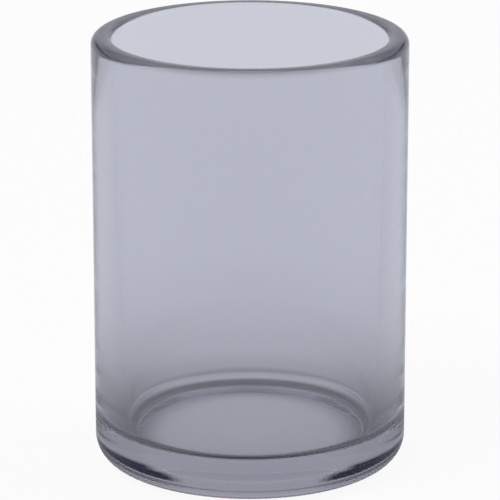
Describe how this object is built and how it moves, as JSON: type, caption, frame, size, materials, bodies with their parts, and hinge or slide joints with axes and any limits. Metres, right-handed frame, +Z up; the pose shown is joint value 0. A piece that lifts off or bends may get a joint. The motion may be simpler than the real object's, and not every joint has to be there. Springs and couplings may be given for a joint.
{
  "type": "bathroom tumbler",
  "caption": "Straight round glass tumbler with a thick wall, a heavy base, a rounded rim and a round heel, open at the top, for drinking or for holding toothbrushes.",
  "frame": {"origin": "on the axis of the glass, in the plane that the foot ring rests on", "axes": "+Z up along the axis, from the foot to the open mouth; the tumbler is round, so X and Y have no preferred side"},
  "size_m": [0.075, 0.075, 0.1045],
  "materials": {
    "smoke_glass": "clear pressed glass with a smoke grey tint, fire-polished all over, with a finely knurled foot ring"
  },
  "bodies": {
    "root": {"glass_body": "smoke_glass"}
  },
  "joints": []
}
